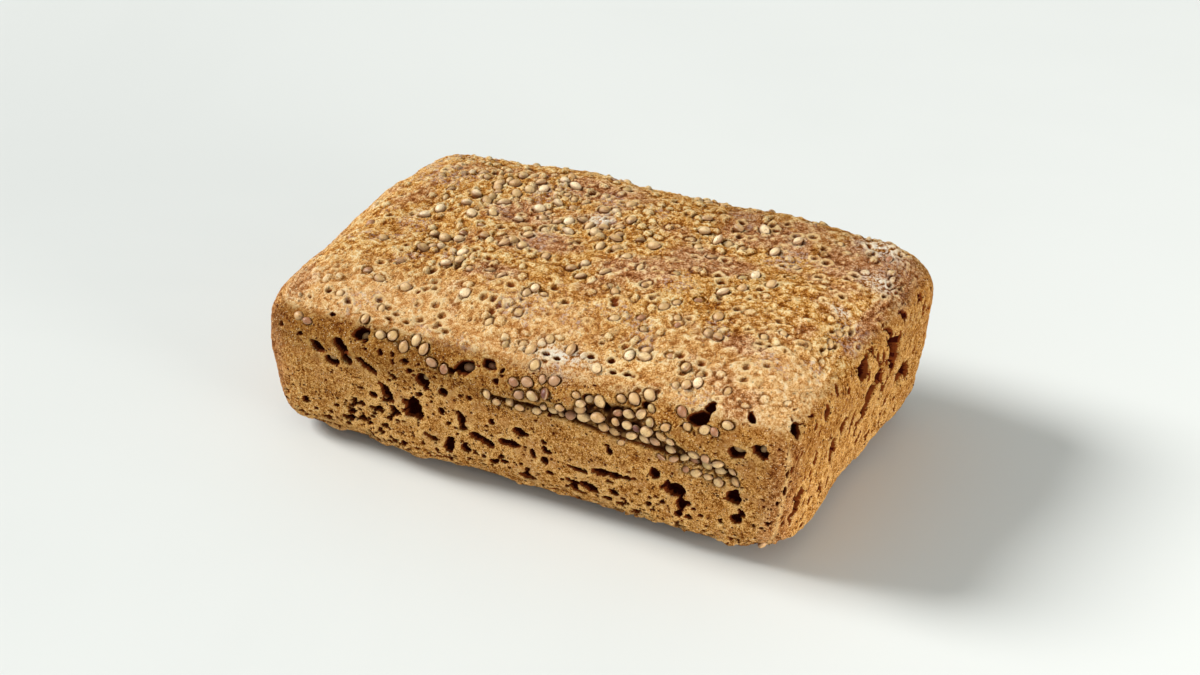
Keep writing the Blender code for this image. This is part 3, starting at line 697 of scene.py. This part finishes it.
def baked_in(surface, seeds):
    """Sockets of fallen seeds, seeds under the crust, and the gap round each seed that shows."""
    for x, y in TOP_SOCKETS:
        near_fold = x > 0 and y < -50
        depth, pit = (1.5 * MM, 0.6) if near_fold else (0.9 * MM, 0.24)
        surface.socket((x * MM, y * MM, EDGE_HEIGHT), 1.45 * MM, depth, pit)
    taken = [spot for spot, *_ in seeds]
    draw = random.Random(BAKED_IN_DRAW)
    for spot in spread_on_top(SCATTERED_SOCKETS, SOCKET_PLACES_DRAW, taken, 3.4 * MM):
        radius = draw.uniform(0.8, 1.5) * MM
        depth = draw.uniform(0.5, 1.1) * MM
        surface.socket(spot, radius, depth, draw.uniform(0.0, 0.45))
    on_top = [spot[:2] for spot in taken if spot[2] == EDGE_HEIGHT]
    for x, y in top_places(BURIED_SEEDS, on_top, BURIED_GAP, BURIED_PLACES_DRAW):
        size = draw.uniform(0.7, 1.0)
        height = draw.uniform(0.5, 1.1) * MM
        turn = draw.uniform(0, 2 * math.pi)
        surface.hump((x, y, EDGE_HEIGHT), size, turn, height, draw.uniform(-1, 1))
    for spot, size, turn, *_ in seeds:
        surface.moat(spot, size, turn, 0.8 if spot[2] == EDGE_HEIGHT else 1.0)


def crust_relief(points, faces, seeds):
    """All of the crust's relief over the points of the plain box."""
    surface = Relief(points)
    z = points[:, 2]
    up = rising(z - EDGE_HEIGHT, -6, 6)
    roughness(surface, up)
    fold(surface)
    large_pores(surface)
    small_pores(surface, up)
    baked_in(surface, seeds)
    surface.height = np.where(z > 0, surface.height * rising(z, 0, 2.5), 0)
    rounds = round(LEVEL_REACH / FINE) ** 2
    # Raised and sunk places, which the material paints paler and darker as highlight and shade.
    surface.raised = (surface.height - levelled(surface.height, faces, rounds)) / RAISED_HEIGHT
    return surface


def patches_on(points, patches):
    """How far into the nearest of the patches each point lies, from 0 to 1."""
    x, y, _ = points.T
    return np.max([in_patch(x, y, middle, reach) for middle, reach in patches], axis=0)


def flour_on(points):
    """How much flour lies on each point."""
    on_top = rising(points[:, 2] - EDGE_HEIGHT, -8, 4)
    return patches_on(points, FLOUR_PATCHES) * on_top


def along_near_edge(points, towards_front, reach):
    """1 along the near upright edge or that far towards the front from it, fading out on both sides."""
    x, y, _ = points.T
    from_edge = (x - LENGTH / 2) - (y + WIDTH / 2)
    return bell(from_edge, -towards_front, reach) * (x > 0) * (y < 0)


def worn_on(points):
    """How far the crust is browned: along the left end, base, near upright edge and far right rim."""
    x, y, z = points.T
    left = rising(-x - LENGTH / 2, -14, 12)
    base = falling(z, 7, 6)
    edge = along_near_edge(points, 5 * MM, 4.5 * MM)
    below = falling(z - EDGE_HEIGHT, -2, 8)
    rim = rising(x, 84, 8) * rising(y, -5, 30) * (1 - below)
    return np.max([0.9 * left * below, 0.7 * base * below, 0.8 * edge * below, 0.6 * rim], axis=0)


def baked_on(points):
    """How far the crust is darkened: painted shade high on the front and the right end and underneath,
    and browning far back.
    """
    x, y, z = points.T
    front = rising(-y - WIDTH / 2, -6, 5) * rising(z, 30, 14)
    end = rising(x - LENGTH / 2, -6, 5) * rising(z, 22, 14)
    left = falling(x, 15, 45)
    base = falling(z, 4, 3)
    below = falling(z - EDGE_HEIGHT, 1, 5)
    back = rising(y, 12, 30) * rising(x, -10, 50)
    return np.max([(0.5 + 0.5 * left) * front * below, 0.62 * end * below, base, 0.5 * back], axis=0)


def pale_on(points):
    """How far the top is paler: along its front, its left end and at its near right corner."""
    x, y, _ = points.T
    front = rising(-y, 20, 26)
    left = 0.5 * rising(-x, 80, 10) * falling(y, 35, 30)
    near = rising(x, 60, 20) * rising(-y, 15, 20)
    patchy = np.clip(0.75 + 0.5 * noise(points, 17 * MM, 53), 0, 1)
    return np.max([front * patchy, left * patchy, near], axis=0)


def brown_on(points):
    """How far the top is browned in its patches, with ragged edges."""
    cover = patches_on(points, BROWN_PATCHES)
    return smooth_step(0.5 + 2.2 * (cover - 0.45) + 0.7 * fractal(points, 9 * MM, 57, 3))


def ridge_on(points):
    """The pale ridge of the near upright edge."""
    below = falling(points[:, 2] - EDGE_HEIGHT, -6, 8)
    broken = 0.5 + 0.5 * noise(points, 3 * MM, 51)
    return along_near_edge(points, 0, 1.6 * MM) * below * broken


def mesh_of(name, places, faces):
    mesh = bpy.data.meshes.new(name)
    mesh.from_pydata(places, [], faces)
    mesh.shade_smooth()
    return mesh


def add_values(mesh, **values_by_name):
    """Gives the mesh a number at each point under each name, for its material."""
    for name, values in values_by_name.items():
        attribute = mesh.attributes.new(name, "FLOAT", "POINT")
        attribute.data.foreach_set("value", np.asarray(values, np.float32))


def crust_piece(seeds):
    points, faces = box_grid(FINE)
    places, normals = formed(points)
    surface = crust_relief(points, faces, seeds)
    mesh = mesh_of("crust", places + normals * surface.height[:, None], faces)
    add_values(
        mesh,
        pit=surface.pit,
        rim=np.maximum(surface.rim, ridge_on(points)),
        gap=surface.gap,
        husk=surface.husk,
        raised=np.clip(surface.raised, -1, 1),
        flour=flour_on(points),
        worn=worn_on(points),
        baked=baked_on(points),
        pale=pale_on(points),
        brown=brown_on(points),
        top=rising(points[:, 2] - EDGE_HEIGHT, -6, 5),
    )
    return bpy.data.objects.new("crust", mesh)


def seed_mesh():
    """One hemp seed's points and faces: an ovoid with a tip at +X and a keel round its flat middle."""
    rings, sides = SEED_RINGS, SEED_SIDES
    points, faces = [(-0.5, 0, 0)], []
    for ring in range(1, rings):
        angle = math.pi * ring / rings
        x = -math.cos(angle) / 2
        width = math.sin(angle) / 2 * (1 - 0.35 * max(2 * x, 0) ** 1.5)
        for side in range(sides):
            around = 2 * math.pi * side / sides
            keel = 1 + 0.06 * math.exp(-((math.sin(around) / 0.22) ** 2))
            points.append((x, width * math.cos(around) * keel, width * math.sin(around)))
    points.append((0.53, 0, 0))
    last = len(points) - 1
    for side in range(sides):
        after = (side + 1) % sides
        faces.append((0, 1 + after, 1 + side))
        for ring in range(rings - 2):
            first = 1 + ring * sides
            faces.append((first + side, first + after, first + sides + after, first + sides + side))
        first = 1 + (rings - 2) * sides
        faces.append((first + side, first + after, last))
    return np.array(points) * (SEED_LENGTH, SEED_WIDTH, SEED_THICKNESS), faces


def seed_frame(crust, spot, turn, lift, tilt):
    """Frame of a seed let down onto the crust."""
    places, normals = formed(np.array([spot]))
    place, out = Vector(places[0]), Vector(normals[0])
    landed, *_ = crust.ray_cast(place + out * 2 * SEED_LENGTH, -out)
    across = Vector((0, 0, 1)).cross(out)
    across = across if across.length > 0.5 else Vector((1, 0, 0))
    across = (across - out * across.dot(out)).normalized()
    axes = Matrix((across, out.cross(across), out)).transposed().to_4x4()
    tipped = Matrix.Rotation(tilt[0], 4, "X") @ Matrix.Rotation(tilt[1], 4, "Y")
    lifted = Matrix.Translation(landed + out * lift * SEED_THICKNESS)
    return lifted @ axes @ Matrix.Rotation(turn, 4, "Z") @ tipped


def seeds_piece(name, crust, seeds, salt):
    """Many seeds joined in one mesh, each with its own two numbers for the material."""
    points, faces = seed_mesh()
    keel = bell(points[:, 2], 0, 0.1 * SEED_THICKNESS)
    # The side of each seed towards the crust, painted in shade.
    underside_shade = smooth_step((0.34 - points[:, 2] / SEED_THICKNESS) / 0.34)
    draw = random.Random(salt)
    places, all_faces, tints, marks = [], [], [], []
    for number, (spot, size, turn, tint, lift) in enumerate(seeds):
        tilt = draw.gauss(0, SEED_TIPPING), draw.gauss(0, SEED_TIPPING)
        scale = (size, size * draw.uniform(0.9, 1.08), size * draw.uniform(0.85, 1.1), 1)
        turned = np.array(seed_frame(crust, spot, turn, lift, tilt) @ Matrix.Diagonal(scale))
        places.append(points @ turned[:3, :3].T + turned[:3, 3])
        all_faces += [[corner + number * len(points) for corner in face] for face in faces]
        tints += [tint] * len(points)
        marks += [draw.random()] * len(points)
    mesh = mesh_of(name, np.concatenate(places), all_faces)
    every_seed = {"along": points[:, 0] / SEED_LENGTH, "keel": keel, "underside_shade": underside_shade}
    every_seed = {key: np.tile(values, len(seeds)) for key, values in every_seed.items()}
    add_values(mesh, tint=tints, mark=marks, **every_seed)
    return bpy.data.objects.new(name, mesh)


class Shader:
    """A material's node tree, built up node by node around its Principled shader."""

    def __init__(self, name):
        self.material = bpy.data.materials.new(name)
        self.material.use_nodes = True
        self.tree = self.material.node_tree
        self.principled = self.tree.nodes["Principled BSDF"]
        self.place = self.add("ShaderNodeTexCoord").outputs["Object"]

    def put(self, socket, value):
        if isinstance(value, bpy.types.NodeSocket):
            self.tree.links.new(value, socket)
        elif isinstance(value, tuple) and len(value) == 3 and socket.type == "RGBA":
            socket.default_value = (*value, 1)
        else:
            socket.default_value = value

    def add(self, kind, inputs=(), **settings):
        node = self.tree.nodes.new(kind)
        for name, value in settings.items():
            setattr(node, name, value)
        for name, value in dict(inputs).items():
            self.put(node.inputs[name], value)
        return node

    def attributes(self, *names):
        """The numbers that the mesh has under those names."""
        return [self.add("ShaderNodeAttribute", attribute_name=name).outputs["Fac"] for name in names]

    def noise(self, size, detail=2.0, rough=0.5, warp=0.0):
        """Noise from 0 to 1 with features of about that size in metres."""
        inputs = {"Vector": self.place, "Scale": 1 / size, "Detail": detail}
        inputs |= {"Roughness": rough, "Distortion": warp}
        return self.add("ShaderNodeTexNoise", inputs).outputs["Fac"]

    def spots(self, size):
        """Scattered spots about that far apart: the distance to the nearest, and its own colour."""
        return self.add("ShaderNodeTexVoronoi", {"Vector": self.place, "Scale": 1 / size}).outputs

    def ramp(self, value, low, high, to_low=0.0, to_high=1.0):
        """Maps low..high to to_low..to_high with soft ends."""
        inputs = {"Value": value, "From Min": low, "From Max": high, "To Min": to_low, "To Max": to_high}
        return self.add("ShaderNodeMapRange", inputs, interpolation_type="SMOOTHSTEP").outputs["Result"]

    def math(self, operation, first, second=0.0):
        node = self.add("ShaderNodeMath", operation=operation)
        self.put(node.inputs[0], first)
        self.put(node.inputs[1], second)
        return node.outputs[0]

    def times(self, first, second):
        return self.math("MULTIPLY", first, second)

    def mix(self, share, first, second, blend="MIX"):
        node = self.add("ShaderNodeMix", data_type="RGBA", blend_type=blend)
        self.put(node.inputs[0], share)
        self.put(node.inputs[6], first)
        self.put(node.inputs[7], second)
        return node.outputs[2]

    def total(self, start, *terms):
        """The start, and each socket times its weight."""
        for socket, weight in terms:
            start = self.math("ADD", start, self.times(socket, weight))
        return start

    def colours(self, value, stops):
        """Colours that follow each other as the value grows, each with the value where it stands."""
        node = self.add("ShaderNodeValToRGB", {"Fac": value})
        elements = node.color_ramp.elements
        while len(elements) < len(stops):
            elements.new(1.0)
        for element, (place, colour) in zip(elements, stops):
            element.position = place
            element.color = (*colour, 1)
        return node.outputs["Color"]

    def bump(self, height, distance, strength):
        inputs = {"Height": height, "Distance": distance, "Strength": strength}
        return self.add("ShaderNodeBump", inputs).outputs["Normal"]

    def finish(self, **inputs):
        for name, value in inputs.items():
            self.put(self.principled.inputs[name.replace("_", " ")], value)
        return self.material


def crust_material():
    s = Shader("crust")
    top, pit, rim, gap = s.attributes("top", "pit", "rim", "gap")
    husk, raised, flour, worn = s.attributes("husk", "raised", "flour", "worn")
    baked, pale, brown = s.attributes("baked", "pale", "brown")

    patches = s.noise(20 * MM, 3, 0.6)
    blotches = s.noise(6 * MM, 3, 0.6)
    fine = s.noise(2.0 * MM, 3, 0.65)
    grain = s.noise(0.8 * MM, 3, 0.75)
    speckle = s.noise(0.35 * MM, 1)

    # The tone mixes the crust's own grain and blotches with painted shade in sunk places and painted
    # highlight on raised ones.
    tone = s.total(-2.0, (raised, 0.22), (grain, 1.9), (fine, 0.9), (speckle, 1.5), (blotches, 0.7))
    top_tone = s.total(-1.75, (raised, 0.3), (grain, 1.6), (fine, 1.0), (speckle, 1.1), (blotches, 0.8))
    side_colour = s.colours(tone, SIDE_TONES)
    side_colour = s.mix(s.ramp(blotches, 0.5, 0.68, 0, 0.5), side_colour, BLOTCH)
    top_colour = s.mix(pale, s.colours(top_tone, TOP_TONES), s.colours(top_tone, PALE_TONES))
    browned = s.math("MAXIMUM", s.times(brown, 0.95), s.ramp(husk, -0.2, -0.7, 0, 0.7))
    browned = s.math("MAXIMUM", browned, s.ramp(patches, 0.54, 0.66, 0, 0.7))
    # Browning fades on raised places, a further painted highlight on them.
    browned = s.times(browned, s.ramp(raised, 0.2, 0.9, 1.0, 0.3))
    top_colour = s.mix(browned, top_colour, s.colours(top_tone, BROWN_TONES))
    top_colour = s.mix(s.ramp(husk, 0.3, 0.8, 0, 0.7), top_colour, HUSK)
    bran_patches = s.ramp(s.noise(15 * MM, 2), 0.56, 0.64)
    bran = s.times(bran_patches, s.ramp(s.noise(1.3 * MM, 3, 0.7), 0.5, 0.6))
    top_colour = s.mix(s.times(bran, 0.6), top_colour, BRAN)
    colour = s.mix(top, side_colour, top_colour)
    colour = s.mix(s.times(worn, 0.8), colour, s.colours(tone, WORN_TONES))
    # Painted shade on the upper front, the upper right end and along the base, and browning far back on
    # the top.
    colour = s.mix(baked, colour, PAINTED_SHADE_AND_BROWNING, "MULTIPLY")
    # Pale specks: bits of bran, and painted glints of light.
    fleck_and_glint = s.ramp(s.spots(0.85 * MM)["Distance"], 0.28, 0.16)
    fleck_and_glint = s.times(fleck_and_glint, s.ramp(fine, 0.42, 0.56))
    colour = s.mix(s.times(fleck_and_glint, 0.6), colour, FLECK_AND_GLINT)
    colour = s.mix(s.times(rim, 0.7), colour, RIM)

    # Pin holes, painted as dark spots of shade with a dent in the bump.
    pin = s.spots(1.5 * MM)
    size = s.ramp(pin["Color"], 0.25, 1.0, 0.0, 0.34)
    ragged = s.times(s.math("SUBTRACT", grain, 0.5), 0.4)
    edge = s.math("ADD", s.math("SUBTRACT", size, pin["Distance"]), ragged)
    hole = s.times(s.ramp(edge, -0.02, 0.02), s.ramp(top, 0.0, 1.0, 0.95, 0.45))
    colour = s.mix(hole, colour, PIN_HOLE_SHADE)
    # Painted shade in pores, sockets, dimples, cracks and the fold's groove: darker walls, near black
    # floors.
    depth = s.math("ADD", pit, s.times(s.math("SUBTRACT", grain, 0.5), 0.55))
    colour = s.mix(s.ramp(depth, 0.16, 0.34), colour, PORE_WALL_SHADE)
    colour = s.mix(s.ramp(depth, 0.54, 0.72), colour, PORE_FLOOR_SHADE)
    # Painted shade in the gaps round seeds and in the fold, weaker on the top.
    gap = s.times(gap, s.ramp(top, 0.0, 1.0, 0.97, 0.8))
    colour = s.mix(gap, colour, GAP_SHADE)
    dusted = s.times(flour, s.ramp(s.total(0.0, (grain, 1.0), (raised, 0.14)), 0.45, 0.54))
    colour = s.mix(dusted, colour, FLOUR)

    height = s.math("SUBTRACT", grain, hole)
    normal = s.bump(height, 1.3 * MM, 1.0)
    return s.finish(Base_Color=colour, Roughness=0.9, Normal=normal, Specular_IOR_Level=0.05)


def seed_material():
    s = Shader("seeds")
    tint, mark, along, keel, underside_shade = s.attributes("tint", "mark", "along", "keel", "underside_shade")
    colour = s.colours(tint, SEED_TINTS)
    veins = s.noise(0.85 * MM, 3, 0.65, 1.5)
    colour = s.mix(s.ramp(veins, 0.52, 0.66, 0, 0.85), colour, s.mix(0.7, colour, VEIN))
    colour = s.mix(s.times(s.ramp(mark, 0.5, 0.9), 0.3), colour, PALER_SEED)
    # Painted shade on the side of each seed towards the crust.
    colour = s.mix(s.times(underside_shade, 0.9), colour, SEED_UNDERSIDE_SHADE)
    colour = s.mix(s.ramp(along, 0.3, 0.5, 0, 0.7), colour, SEED_TIP)
    colour = s.mix(s.times(keel, 0.5), colour, SEED_KEEL)
    normal = s.bump(veins, 0.25 * MM, 0.8)
    return s.finish(Base_Color=colour, Roughness=0.32, Normal=normal)


def add_object(obj, material):
    obj.data.materials.append(material)
    bpy.context.scene.collection.objects.link(obj)
    return obj


def build_bread():
    on_top, on_sides = top_seeds(), side_seeds()
    crust = add_object(crust_piece(on_top + on_sides), crust_material())
    bpy.context.view_layer.update()
    tree = BVHTree.FromObject(crust, bpy.context.evaluated_depsgraph_get())
    material = seed_material()
    top = add_object(seeds_piece("top_seeds", tree, on_top, TOP_TIPPING_DRAW), material)
    sides = add_object(seeds_piece("side_seeds", tree, on_sides, SIDE_TIPPING_DRAW), material)
    for piece in (crust, top, sides):
        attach(piece, "root")
        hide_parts("loaf")


def add_floor():
    corners = [(x * FLOOR_REACH, y * FLOOR_REACH, 0) for x, y in ((-1, -1), (1, -1), (1, 1), (-1, 1))]
    s = Shader("floor")
    colour = s.mix(s.ramp(s.noise(0.35, 4, 0.6, 0.6), 0.4, 0.7), *FLOOR_COLOURS)
    material = s.finish(Base_Color=colour, Roughness=0.6)
    floor = bpy.data.objects.new("floor", mesh_of("floor", corners, [(0, 1, 2, 3)]))
    add_object(floor, material)


def add_light(name, kind, towards_light, distance=0.0, **settings):
    """A light that far from the loaf, facing it."""
    light = bpy.data.lights.new(name, kind)
    for setting, value in settings.items():
        setattr(light, setting, value)
    direction = Vector(towards_light).normalized()
    obj = bpy.data.objects.new(name, light)
    obj.location = direction * distance
    obj.rotation_euler = direction.to_track_quat("Z", "Y").to_euler()
    bpy.context.scene.collection.objects.link(obj)


def light_scene():
    add_light("key", "SUN", KEY_FROM, energy=KEY_STRENGTH, angle=KEY_WIDTH, color=KEY_COLOUR)
    bounce = {"size": BOUNCE_SIZE, "energy": BOUNCE_POWER, "color": BOUNCE_COLOUR}
    add_light("bounce", "AREA", BOUNCE_FROM, BOUNCE_DISTANCE, **bounce)
    world = bpy.data.worlds.new("studio")
    world.use_nodes = True
    background = world.node_tree.nodes["Background"]
    background.inputs["Color"].default_value = (*STUDIO_COLOUR, 1)
    background.inputs["Strength"].default_value = STUDIO_STRENGTH
    bpy.context.scene.world = world
    bpy.context.scene.view_settings.view_transform = "Standard"


def add_camera():
    """The camera stands where the photograph's stood, seen from the loaf."""
    tilt, turn = CAMERA_TILT, CAMERA_TURN
    back = Vector((math.sin(turn) * math.cos(tilt), -math.cos(turn) * math.cos(tilt), math.sin(tilt)))
    right = Vector((math.cos(turn), math.sin(turn), 0))
    up = back.cross(right)
    data = bpy.data.cameras.new("camera")
    data.lens = LENS
    data.sensor_width = SENSOR
    camera = bpy.data.objects.new("camera", data)
    placed = Matrix((right, up, back)).transposed().to_4x4()
    placed.translation = back * CAMERA_DISTANCE - right * CAMERA_ASIDE - up * CAMERA_LOW
    camera.matrix_world = placed
    bpy.context.scene.collection.objects.link(camera)
    bpy.context.scene.camera = camera


add_camera()
build_bread()
add_floor()
light_scene()
